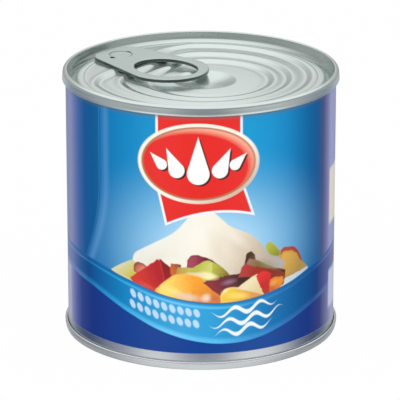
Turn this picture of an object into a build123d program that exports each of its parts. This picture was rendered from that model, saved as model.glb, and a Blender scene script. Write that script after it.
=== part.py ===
from build123d import *
from math import cos, radians, sin
import os

# Condensed milk can, 3 inch: a printed tinplate wall, a seamed easy-open lid with its
# ring-pull tab, and a plain seamed base end. The can is shut and full, so the wall
# and its contents are one solid. Millimetres, base at z = 0, the label's front faces -Y.

# whole can
HEIGHT = 74.5
SEAM_RADIUS = 38.1
WALL_RADIUS = 37.2
PLUG_RADIUS = 36.7

# top seam and lid, as depths below the rim
TOP_SEAM_HEIGHT = 2.8
CREST_RADIUS = 37.35
CHUCK_TOP_RADIUS = 36.8
CHUCK_FOOT_RADIUS = 35.95
GROOVE_DEPTH = 4.6
GROOVE_RADIUS = 35.3
PANEL_EDGE_RADIUS = 33.7
PANEL_DEPTH = 2.4
LID_UNDERSIDE_DEPTH = 6.0
SCORE_RADIUS = 32.7
SCORE_WIDTH = 0.4
SCORE_DEPTH = 0.15

# three nested D-shaped steps in the panel, each with its chord under the ring
STEP_DEPTH = 0.45
STEP_AXIS_DEG = 146.9
STEP_CORNER_RADIUS = 2.5
STEPS = (
    (29.3, 0.0, 0.5, 21.4),
    (22.6, 1.1, -0.5, 16.8),
    (17.0, 1.8, -1.0, 12.5),
)

# dished finger well beside the ring's end
WELL_X = 1.0
WELL_Y = -1.3
WELL_RADIUS = 8.75
WELL_DEPTH = 1.3

# ring-pull tab: its own axis runs from the ring's centre to the nose
RING_X = -9.0
RING_Y = 3.5
TAB_AXIS_DEG = 132.0
RING_RADIUS = 11.25
NOSE_REACH = 20.1
NOSE_HALF_SPACING = 3.7
NOSE_CORNER_RADIUS = 4.5
TAB_THICKNESS = 1.1
TAB_CURL_RADIUS = 0.45
HOLE_SHIFT = 0.9
HOLE_LENGTH = 19.4
HOLE_WIDTH = 16.0

# rivet drawn up from the panel through the nose
RIVET_REACH = 18.6
ISLAND_RADIUS = 5.0
ISLAND_DEPTH = 0.35
RIVET_HOLE_RADIUS = 2.2
RIVET_POST_RADIUS = 2.1
RIVET_HEAD_RADIUS = 2.9
RIVET_HEAD_RISE = 0.15
LANCE_PIT_RADIUS = 0.5
LANCE_PIT_OFFSET = 3.9

# base end and bottom seam
BASE_SEAM_HEIGHT = 2.3
BASE_CREST_INNER_RADIUS = 36.9
BASE_CREST_OUTER_RADIUS = 37.5
BASE_GROOVE_HEIGHT = 4.4
BASE_PANEL_HEIGHT = 3.2
BASE_PANEL_EDGE_RADIUS = 33.4
BASE_BEAD_RADIUS = 25.0
BASE_BEAD_RISE = 0.5
BASE_TOP = 6.0

# bare band where the wall swells into the bottom seam
FLARE_RADIUS = 37.6
FLARE_FOOT = 3.5
FLARE_TOP = 4.5

panel_z = HEIGHT - PANEL_DEPTH
lid_underside_z = HEIGHT - LID_UNDERSIDE_DEPTH
seam_foot_z = HEIGHT - TOP_SEAM_HEIGHT
tab_top_z = panel_z + TAB_THICKNESS
island_z = tab_top_z - ISLAND_DEPTH
tab_cos = cos(radians(TAB_AXIS_DEG))
tab_sin = sin(radians(TAB_AXIS_DEG))
rivet_x = RING_X + RIVET_REACH * tab_cos
rivet_y = RING_Y + RIVET_REACH * tab_sin
step_cos = cos(radians(STEP_AXIS_DEG))
step_sin = sin(radians(STEP_AXIS_DEG))

# can_body: printed wall and contents, from one end's plug to the other's
with BuildPart() as can_body:
    with BuildSketch(Plane.XZ):
        with BuildLine():
            Polyline(
                (0, BASE_TOP),
                (PLUG_RADIUS, BASE_TOP),
                (PLUG_RADIUS, BASE_SEAM_HEIGHT),
                (FLARE_RADIUS, BASE_SEAM_HEIGHT),
                (FLARE_RADIUS, FLARE_FOOT),
                (WALL_RADIUS, FLARE_TOP),
                (WALL_RADIUS, seam_foot_z),
                (PLUG_RADIUS, seam_foot_z),
                (PLUG_RADIUS, lid_underside_z),
                (0, lid_underside_z),
                close=True,
            )
        make_face()
    revolve(axis=Axis.Z)

# lid: seam, chuck wall, countersink groove, scored panel with its steps, and the rivet
with BuildPart() as lid:
    with BuildSketch(Plane.XZ):
        with BuildLine():
            Polyline(
                (PANEL_EDGE_RADIUS, panel_z),
                (SCORE_RADIUS + SCORE_WIDTH / 2, panel_z),
                (SCORE_RADIUS, panel_z - SCORE_DEPTH),
                (SCORE_RADIUS - SCORE_WIDTH / 2, panel_z),
                (0, panel_z),
                (0, lid_underside_z),
                (PLUG_RADIUS, lid_underside_z),
                (PLUG_RADIUS, seam_foot_z),
                (SEAM_RADIUS - 0.4, seam_foot_z),
            )
            TangentArc(
                (SEAM_RADIUS - 0.4, seam_foot_z),
                (SEAM_RADIUS, seam_foot_z + 0.4),
                tangent=(1, 0),
            )
            Line((SEAM_RADIUS, seam_foot_z + 0.4), (SEAM_RADIUS, HEIGHT - 0.75))
            TangentArc(
                (SEAM_RADIUS, HEIGHT - 0.75),
                (CREST_RADIUS, HEIGHT),
                tangent=(0, 1),
            )
            TangentArc(
                (CREST_RADIUS, HEIGHT),
                (CHUCK_TOP_RADIUS, HEIGHT - 0.55),
                tangent=(-1, 0),
            )
            Line(
                (CHUCK_TOP_RADIUS, HEIGHT - 0.55),
                (CHUCK_FOOT_RADIUS, HEIGHT - GROOVE_DEPTH + 0.6),
            )
            ThreePointArc(
                (CHUCK_FOOT_RADIUS, HEIGHT - GROOVE_DEPTH + 0.6),
                (GROOVE_RADIUS, HEIGHT - GROOVE_DEPTH),
                (GROOVE_RADIUS - 0.65, HEIGHT - GROOVE_DEPTH + 0.6),
            )
            Line(
                (GROOVE_RADIUS - 0.65, HEIGHT - GROOVE_DEPTH + 0.6),
                (PANEL_EDGE_RADIUS + 0.5, panel_z - 0.5),
            )
            TangentArc(
                (PANEL_EDGE_RADIUS, panel_z),
                (PANEL_EDGE_RADIUS + 0.5, panel_z - 0.5),
                tangent=(1, 0),
            )
        make_face()
    revolve(axis=Axis.Z)
    for index, (radius, centre_x, centre_y, chord) in enumerate(STEPS):
        reach = chord - centre_x * step_cos - centre_y * step_sin
        step_plane = Plane(
            origin=(centre_x, centre_y, panel_z - index * STEP_DEPTH),
            x_dir=(step_cos, step_sin, 0),
            z_dir=(0, 0, 1),
        )
        with BuildSketch(step_plane) as step_sketch:
            Circle(radius)
            with Locations((reach - 2 * radius, 0)):
                Rectangle(4 * radius, 4 * radius, mode=Mode.INTERSECT)
            fillet(step_sketch.vertices(), radius=STEP_CORNER_RADIUS)
        extrude(amount=-STEP_DEPTH, taper=40, mode=Mode.SUBTRACT)
    well_sphere = (WELL_RADIUS**2 + WELL_DEPTH**2) / (2 * WELL_DEPTH)
    well_rim_z = panel_z - len(STEPS) * STEP_DEPTH
    with Locations((WELL_X, WELL_Y, well_rim_z - WELL_DEPTH + well_sphere)):
        Sphere(well_sphere, mode=Mode.SUBTRACT)
    with BuildSketch(Plane.XY.offset(panel_z - 0.2)):
        with Locations((rivet_x, rivet_y)):
            Circle(RIVET_POST_RADIUS)
    extrude(amount=island_z - panel_z + 0.2)
    with BuildSketch(Plane.XY.offset(island_z)):
        with Locations((rivet_x, rivet_y)):
            Circle(RIVET_HEAD_RADIUS)
    extrude(amount=ISLAND_DEPTH + RIVET_HEAD_RISE)
    fillet(
        lid.faces()
        .filter_by(GeomType.PLANE)
        .filter_by_position(Axis.Z, tab_top_z + RIVET_HEAD_RISE - 0.01, HEIGHT - 0.5)
        .edges(),
        radius=0.3,
    )

# pull_tab: a flat curled ring that narrows to a blunt nose on the rivet
tab_plane = Plane(
    origin=(RING_X, RING_Y, panel_z),
    x_dir=(tab_cos, tab_sin, 0),
    z_dir=(0, 0, 1),
)
with BuildPart() as pull_tab:
    with BuildSketch(tab_plane):
        Circle(RING_RADIUS)
        with Locations((NOSE_REACH, NOSE_HALF_SPACING), (NOSE_REACH, -NOSE_HALF_SPACING)):
            Circle(NOSE_CORNER_RADIUS)
        make_hull()
    extrude(amount=TAB_THICKNESS)
    with BuildSketch(tab_plane):
        with Locations((HOLE_SHIFT, 0)):
            Ellipse(HOLE_LENGTH / 2, HOLE_WIDTH / 2)
    extrude(amount=TAB_THICKNESS, mode=Mode.SUBTRACT)
    tab_faces = pull_tab.faces().filter_by(Axis.Z)
    fillet(tab_faces.edges(), radius=TAB_CURL_RADIUS)
    with BuildSketch(tab_plane.offset(TAB_THICKNESS)):
        with Locations((RIVET_REACH, 0)):
            Circle(ISLAND_RADIUS)
    extrude(amount=-ISLAND_DEPTH, mode=Mode.SUBTRACT)
    with BuildSketch(tab_plane):
        with Locations((RIVET_REACH, 0)):
            Circle(RIVET_HOLE_RADIUS)
        with Locations((RIVET_REACH, LANCE_PIT_OFFSET), (RIVET_REACH, -LANCE_PIT_OFFSET)):
            Circle(LANCE_PIT_RADIUS)
    extrude(amount=TAB_THICKNESS, mode=Mode.SUBTRACT)

# base_end: bottom seam with its flat foot, chuck wall, groove and one round bead
with BuildPart() as base_end:
    with BuildSketch(Plane.XZ):
        with BuildLine():
            Polyline(
                (BASE_CREST_INNER_RADIUS, 0),
                (BASE_CREST_OUTER_RADIUS, 0),
            )
            TangentArc(
                (BASE_CREST_OUTER_RADIUS, 0),
                (SEAM_RADIUS, 0.6),
                tangent=(1, 0),
            )
            Line((SEAM_RADIUS, 0.6), (SEAM_RADIUS, BASE_SEAM_HEIGHT - 0.4))
            TangentArc(
                (SEAM_RADIUS, BASE_SEAM_HEIGHT - 0.4),
                (SEAM_RADIUS - 0.4, BASE_SEAM_HEIGHT),
                tangent=(0, 1),
            )
            Polyline(
                (SEAM_RADIUS - 0.4, BASE_SEAM_HEIGHT),
                (PLUG_RADIUS, BASE_SEAM_HEIGHT),
                (PLUG_RADIUS, BASE_TOP),
                (0, BASE_TOP),
                (0, BASE_PANEL_HEIGHT),
                (BASE_BEAD_RADIUS - 1.5, BASE_PANEL_HEIGHT),
            )
            ThreePointArc(
                (BASE_BEAD_RADIUS - 1.5, BASE_PANEL_HEIGHT),
                (BASE_BEAD_RADIUS, BASE_PANEL_HEIGHT + BASE_BEAD_RISE),
                (BASE_BEAD_RADIUS + 1.5, BASE_PANEL_HEIGHT),
            )
            Polyline(
                (BASE_BEAD_RADIUS + 1.5, BASE_PANEL_HEIGHT),
                (BASE_PANEL_EDGE_RADIUS, BASE_PANEL_HEIGHT),
                (BASE_PANEL_EDGE_RADIUS + 0.6, BASE_GROOVE_HEIGHT - 0.6),
            )
            ThreePointArc(
                (BASE_PANEL_EDGE_RADIUS + 0.6, BASE_GROOVE_HEIGHT - 0.6),
                (BASE_PANEL_EDGE_RADIUS + 1.2, BASE_GROOVE_HEIGHT),
                (BASE_PANEL_EDGE_RADIUS + 1.8, BASE_GROOVE_HEIGHT - 0.6),
            )
            Line(
                (BASE_PANEL_EDGE_RADIUS + 1.8, BASE_GROOVE_HEIGHT - 0.6),
                (BASE_CREST_INNER_RADIUS - 0.5, 0.5),
            )
            TangentArc(
                (BASE_CREST_INNER_RADIUS, 0),
                (BASE_CREST_INNER_RADIUS - 0.5, 0.5),
                tangent=(-1, 0),
            )
        make_face()
    revolve(axis=Axis.Z)

can_body.part.label = "can_body"
lid.part.label = "lid"
pull_tab.part.label = "pull_tab"
base_end.part.label = "base_end"

os.makedirs("parts", exist_ok=True)
export_step(can_body.part, "parts/can_body.step")
export_step(lid.part, "parts/lid.step")
export_step(pull_tab.part, "parts/pull_tab.step")
export_step(base_end.part, "parts/base_end.step")
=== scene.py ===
import logging
import math
from dataclasses import dataclass, field
from enum import Enum

import bmesh
import bpy
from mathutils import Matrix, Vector


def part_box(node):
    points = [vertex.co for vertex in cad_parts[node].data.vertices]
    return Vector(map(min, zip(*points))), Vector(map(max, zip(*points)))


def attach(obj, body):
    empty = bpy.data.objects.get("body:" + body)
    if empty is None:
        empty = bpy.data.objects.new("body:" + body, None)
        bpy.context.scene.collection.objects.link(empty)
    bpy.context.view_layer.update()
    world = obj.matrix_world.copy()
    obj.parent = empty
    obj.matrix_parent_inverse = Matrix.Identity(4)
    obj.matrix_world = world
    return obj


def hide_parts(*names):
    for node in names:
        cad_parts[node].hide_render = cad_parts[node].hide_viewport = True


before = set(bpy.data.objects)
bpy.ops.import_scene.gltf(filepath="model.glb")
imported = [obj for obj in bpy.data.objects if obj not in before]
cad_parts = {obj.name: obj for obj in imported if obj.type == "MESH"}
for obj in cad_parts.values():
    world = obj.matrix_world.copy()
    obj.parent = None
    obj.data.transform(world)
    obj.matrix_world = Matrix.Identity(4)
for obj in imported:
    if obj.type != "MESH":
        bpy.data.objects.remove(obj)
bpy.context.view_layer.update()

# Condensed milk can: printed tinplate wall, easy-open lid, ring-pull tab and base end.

log = logging.getLogger("milk_can")

MM = 0.001
WALL_LOW, WALL_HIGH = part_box("can_body")
_, LID_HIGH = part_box("lid")
TAB_LOW, TAB_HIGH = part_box("pull_tab")
HEIGHT = LID_HIGH.z / MM
SEAM_RADIUS = LID_HIGH.x / MM

Point = tuple[float, float]
Colour = tuple[float, float, float, float]
Inks = tuple[tuple[float, str], ...]
Socket = bpy.types.NodeSocket
Tree = bpy.types.NodeTree
Piece = bpy.types.Object

# A Mix node's two colour inputs, and its colour output.
UNDER, OVER, MIXED = 6, 7, 2


def linear(hex_code: str) -> Colour:
    """Turns an sRGB hex colour into the linear RGBA that a socket takes.

    Args:
        hex_code: Six hex digits, with or without a leading hash.

    Returns:
        Linear red, green, blue and an alpha of 1.
    """
    digits = hex_code.lstrip("#")
    values = [int(digits[i:i + 2], 16) / 255.0 for i in (0, 2, 4)]
    parts = [v / 12.92 if v <= 0.04045 else ((v + 0.055) / 1.055) ** 2.4 for v in values]
    return parts[0], parts[1], parts[2], 1.0


def add_node(tree: Tree, kind: str, links: dict | None = None, **settings: object) -> bpy.types.Node:
    """Adds one node to a tree with its settings, socket values and links.

    Args:
        tree: The node tree that gets the node.
        kind: The node's Blender type name, without the ShaderNode that it starts with.
        links: Input name or number to a value, or to the output socket that feeds it.
        **settings: Properties to set on the node itself.

    Returns:
        The new node.
    """
    node = tree.nodes.new("ShaderNode" + kind)
    for name, value in settings.items():
        setattr(node, name, value)
    for key, value in (links or {}).items():
        if isinstance(value, Socket):
            tree.links.new(value, node.inputs[key])
        else:
            node.inputs[key].default_value = value
    return node


def colour_by(tree: Tree, value: Socket, stops: list[tuple[float, Colour]]) -> Socket:
    """Colours by a value that runs from 0 to 1.

    Args:
        tree: The node tree.
        value: The value.
        stops: Position and colour of each stop, in order.

    Returns:
        The colour socket.
    """
    node = add_node(tree, "ValToRGB", {0: value})
    bar = node.color_ramp
    bar.elements[0].position, bar.elements[1].position = stops[0][0], stops[-1][0]
    for position, _ in stops[1:-1]:
        bar.elements.new(position)
    for element, (_, colour) in zip(bar.elements, stops):
        element.color = colour
    return node.outputs[0]


def start_material(name: str) -> tuple[bpy.types.Material, Tree]:
    """Makes an empty node material.

    Args:
        name: The material's name.

    Returns:
        The material and its cleared node tree.
    """
    material = bpy.data.materials.new(name)
    material.use_nodes = True
    material.node_tree.nodes.clear()
    return material, material.node_tree


def arc(centre: Point, radius: float, start_deg: float, end_deg: float, steps: int) -> list[Point]:
    """Points along a round stretch of a section or an outline.

    Args:
        centre: The arc's centre.
        radius: Its radius, in the unit of the centre.
        start_deg: Angle of the first point.
        end_deg: Angle of the last point.
        steps: Number of equal spans.

    Returns:
        The points, both ends included.
    """
    points = []
    for i in range(steps + 1):
        angle = math.radians(start_deg + (end_deg - start_deg) * i / steps)
        points.append((centre[0] + radius * math.cos(angle), centre[1] + radius * math.sin(angle)))
    return points


def clear_selection() -> None:
    """Leaves no object selected, so that the next operator acts on one piece only."""
    if bpy.context.mode != "OBJECT":
        bpy.ops.object.mode_set(mode="OBJECT")
    bpy.ops.object.select_all(action="DESELECT")


def make_active(piece: Piece) -> None:
    """Selects one piece alone and makes it the active one."""
    clear_selection()
    piece.select_set(True)
    bpy.context.view_layer.objects.active = piece


def lathe(name: str, section: list[Point], steps: int, centre: Point = (0.0, 0.0)) -> Piece:
    """Turns a section about an upright axis, ring by ring, as wall extruded from wall.

    Args:
        name: The piece's name.
        section: Radius and height of each ring in mm; a radius of 0 closes the piece.
        steps: Number of facets round the axis.
        centre: The axis' place in mm.

    Returns:
        The turned piece, with its normals pointing out.
    """
    clear_selection()
    first_radius, first_height = section[0]
    closed_start = first_radius == 0.0
    ring_start = section[1] if closed_start else section[0]
    bpy.ops.mesh.primitive_circle_add(
        vertices=steps,
        radius=ring_start[0] * MM,
        fill_type="NOTHING",
        location=(centre[0] * MM, centre[1] * MM, ring_start[1] * MM),
    )
    piece = bpy.context.active_object
    piece.name = name
    bpy.ops.object.transform_apply(location=True, rotation=True, scale=True)
    bpy.ops.object.mode_set(mode="EDIT")
    bpy.ops.mesh.select_all(action="SELECT")
    if closed_start:
        cap_with_point(piece, centre, first_height)
    radius, height = ring_start
    for next_radius, next_height in section[2 if closed_start else 1:]:
        if next_radius == 0.0:
            cap_with_point(piece, centre, next_height)
            break
        bpy.ops.mesh.extrude_edges_move()
        bpy.ops.transform.translate(value=(0, 0, (next_height - height) * MM))
        scale = next_radius / radius
        bpy.ops.transform.resize(
            value=(scale, scale, 1),
            center_override=(centre[0] * MM, centre[1] * MM, next_height * MM),
        )
        radius, height = next_radius, next_height
    bpy.ops.mesh.select_all(action="SELECT")
    bpy.ops.mesh.normals_make_consistent(inside=False)
    bpy.ops.object.mode_set(mode="OBJECT")
    return piece


def cap_with_point(piece: Piece, centre: Point, height: float) -> None:
    """Closes the selected ring with a fan that meets at one point on the axis.

    Args:
        piece: The piece in edit mode, with one ring of edges selected.
        centre: The axis' place in mm.
        height: The point's height in mm.
    """
    mesh = bmesh.from_edit_mesh(piece.data)
    ring = [edge for edge in mesh.edges if edge.select]
    tip = mesh.verts.new((centre[0] * MM, centre[1] * MM, height * MM))
    for edge in ring:
        mesh.faces.new((edge.verts[0], edge.verts[1], tip))
    tip.select_set(False)
    bmesh.update_edit_mesh(piece.data)


def finish_mesh(piece: Piece, smooth_deg: float, weighted: bool = True) -> None:
    """Merges doubles, smooths shading below an angle and lets flats keep their normals.

    Args:
        piece: The piece to finish.
        smooth_deg: Edges flatter than this angle are shaded smooth.
        weighted: Whether wide faces set the normals of the narrow ones beside them.
    """
    make_active(piece)
    bpy.ops.object.mode_set(mode="EDIT")
    bpy.ops.mesh.select_all(action="SELECT")
    bpy.ops.mesh.remove_doubles(threshold=0.002 * MM)
    bpy.ops.object.mode_set(mode="OBJECT")
    bpy.ops.object.shade_smooth_by_angle(angle=math.radians(smooth_deg))
    if weighted:
        modifier = piece.modifiers.new("flat_normals", "WEIGHTED_NORMAL")
        modifier.keep_sharp = True
        modifier.weight = 60
        bpy.ops.object.modifier_apply(modifier=modifier.name)


class Part(Enum):
    """The can's CAD nodes, each with the name of a material slot, which nothing here assigns."""

    WALL = ("can_body", "printed_tinplate")
    LID = ("lid", "lid_tinplate")
    TAB = ("pull_tab", "tab_steel")
    BASE = ("base_end", "base_tinplate")


def settle(piece: Piece, part: Part) -> None:
    """Rides a piece on the can's one body and says what it stands for.

    Args:
        piece: The finished piece.
        part: The CAD node that it stands for; the slot in it is not used.
    """
    node, slot = part.value
    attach(piece, "root")
    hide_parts(node)
    log.info("%s: %d faces, replaces %s", piece.name, len(piece.data.polygons), node)


# ---------------------------------------------------------------- metals


@dataclass(frozen=True)
class SatinTinplate:
    """Electrolytic tinplate, cold rolled and pressed: a soft grey mirror with rolling grain.

    The grain runs along X in streaks 0.6 mm wide, coarser than the real 0.1 mm, so that it shows.
    The curled edge, a band of heights in mm where the sheet turns, is painted darker: painted shade standing
    for the shadow and dark reflections along the edges and hole walls.
    """

    name: str
    colour: str = "#D8E2DF"
    roughness: float = 0.2
    roughness_drift: float = 0.12
    metal_share: float = 0.86
    grain_mm: float = 0.6
    grain_length_mm: float = 25.0
    grain_depth: float = 0.012
    grain_bump_mm: float = 0.05
    clouds_per_metre: float = 60.0
    noise_span: Point = (0.6, 1.4)
    # Heights in mm tinted darker as painted shade, the inset of that band, and the darker tin colour that it
    # takes.
    hem_shade_band: Point | None = None
    hem_inset: float = 0.03
    hem_shade_colour: str = "#56605E"

    def material(self) -> bpy.types.Material:
        """Builds the metal with streaks in its roughness and a faint bump.

        Returns:
            The finished material.
        """
        material, tree = start_material(self.name)
        place = add_node(tree, "TexCoord").outputs["Object"]
        stretch = (1.0 / (self.grain_length_mm * MM), 1.0 / (self.grain_mm * MM), self.clouds_per_metre)
        streak = add_node(tree, "Mapping", {"Vector": place, "Scale": stretch}).outputs[0]
        grain = add_node(
            tree, "TexNoise", {"Vector": streak, "Scale": 1.0, "Detail": 3.0, "Roughness": 0.6}
        ).outputs[0]
        cloud = add_node(
            tree, "TexNoise", {"Vector": place, "Scale": self.clouds_per_metre, "Detail": 2.0}
        ).outputs[0]
        blend = add_node(tree, "Math", {0: grain, 1: cloud}, operation="ADD").outputs[0]
        rough = add_node(
            tree,
            "MapRange",
            {
                "Value": blend,
                "From Min": self.noise_span[0],
                "From Max": self.noise_span[1],
                "To Min": self.roughness * (1 - self.roughness_drift),
                "To Max": self.roughness * (1 + self.roughness_drift),
            },
        )
        bump = add_node(
            tree,
            "Bump",
            {"Height": grain, "Strength": self.grain_depth, "Distance": self.grain_bump_mm * MM},
        )
        shader_links = {
            "Base Color": self.face_colour(tree, place),
            "Metallic": self.metal_share,
            "Roughness": rough.outputs[0],
            "Normal": bump.outputs[0],
        }
        shader = add_node(tree, "BsdfPrincipled", shader_links)
        add_node(tree, "OutputMaterial", {"Surface": shader.outputs[0]})
        return material

    def face_colour(self, tree: Tree, place: Socket) -> Socket | Colour:
        """The tin's colour, with painted shade on its curled edge band where it has one.

        Args:
            tree: The material's node tree.
            place: The place on the piece in metres.

        Returns:
            The colour, or the socket that gives it.
        """
        colour = linear(self.colour)
        if not self.hem_shade_band:
            return colour
        # Painted shade: between low and high the tin takes the darker colour.
        low, high = self.hem_shade_band
        height = add_node(tree, "SeparateXYZ", {0: place})
        reach = ((high - low) / 2 - self.hem_inset) * MM
        level = add_node(
            tree, "Math", {0: height.outputs[2], 1: (low + high) / 2 * MM, 2: reach}, operation="COMPARE"
        )
        turned = {"Factor": level.outputs[0], UNDER: colour, OVER: linear(self.hem_shade_colour)}
        return add_node(tree, "Mix", turned, data_type="RGBA").outputs[MIXED]


# ---------------------------------------------------------------- the print


@dataclass(frozen=True)
class Chunk:
    """A convex patch of ink, such as one face of a diced fruit, in label mm.

    The outline runs anticlockwise. The colour goes from light at glow to dark at shade.
    """

    outline: tuple[Point, ...]
    light: str
    dark: str
    glow: Point
    shade: Point
    corner: float = 0.5
    rim: str | None = None
    rim_width: float = 0.7


@dataclass(frozen=True)
class Blob:
    """An elliptical patch of ink, in label mm, turned by an angle in degrees."""

    centre: Point
    radii: Point
    colour: str
    turn: float = 0.0
    softness: float = 0.12
    strength: float = 1.0


# The mound of cream is the soft union of these convex bodies: peak, left flank, right flank, tongue.
CREAM = (
    ((-8.5, 37.0), (10.5, 37.0), (9.3, 39.9), (6.3, 43.0), (3.5, 45.0), (2.0, 46.5), (-0.8, 46.5)),
    ((-19.3, 30.4), (-18.6, 27.0), (-2.0, 26.0), (8.0, 27.0), (9.0, 38.0), (0.0, 42.4), (-3.0, 41.3),
     (-8.0, 38.5), (-15.5, 34.2), (-18.5, 32.2)),
    ((0.0, 41.0), (0.0, 27.0), (6.0, 25.8), (12.5, 26.4), (17.0, 28.2), (18.7, 31.6), (17.4, 34.3),
     (15.3, 36.6), (12.9, 38.4), (8.4, 40.3)),
    ((14.6, 29.8), (17.0, 28.2), (22.6, 26.3), (24.2, 26.9), (24.4, 28.3), (23.1, 29.7), (18.8, 31.7),
     (15.0, 33.6)),
)
CREAM_TONES = (
    (0.0, "#E8E9E2"), (0.16, "#F2F0E4"), (0.42, "#F6F0DE"), (0.58, "#EFE5CF"), (0.68, "#DFD1B9"),
    (0.78, "#CABAA4"), (0.88, "#BBAD9F"), (1.0, "#B4AEA9"),
)

BEHIND = (
    # pale sliver along the band and the gold piece with a red skin, at the right
    Chunk(((17.0, 19.6), (24.0, 20.6), (33.6, 24.2), (32.8, 25.2), (24.0, 24.2)),
          "#DDE2DE", "#B9CCDC", (22.0, 22.0), (32.0, 24.6), corner=0.3),
    Chunk(((24.2, 24.0), (30.4, 25.0), (31.0, 27.0), (29.5, 30.4), (27.2, 32.1), (24.2, 32.6), (22.4, 31.4)),
          "#B5483E", "#A23E34", (24.0, 32.0), (29.0, 30.0), corner=0.6),
    Chunk(((24.3, 23.5), (33.4, 24.9), (32.6, 25.6), (29.6, 27.9), (24.3, 27.6)),
          "#C49A48", "#A8904F", (25.0, 25.0), (32.0, 25.2), corner=0.3),
    Chunk(((24.1, 23.5), (30.2, 24.4), (30.6, 26.6), (28.9, 29.8), (26.8, 31.1), (24.0, 31.4), (22.6, 30.2)),
          "#DBA94C", "#A98E4C", (24.4, 28.8), (30.0, 25.2), corner=0.6, rim="#BE8A3C"),
    # green grape
    Chunk(((18.0, 33.6), (18.6, 32.0), (20.4, 30.4), (22.8, 30.0), (22.9, 31.6), (21.4, 33.6), (19.8, 34.9),
           (18.4, 34.6)),
          "#B2B536", "#8C8F38", (19.4, 33.8), (22.0, 31.0), rim="#B9B878", rim_width=0.5),
)

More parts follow.
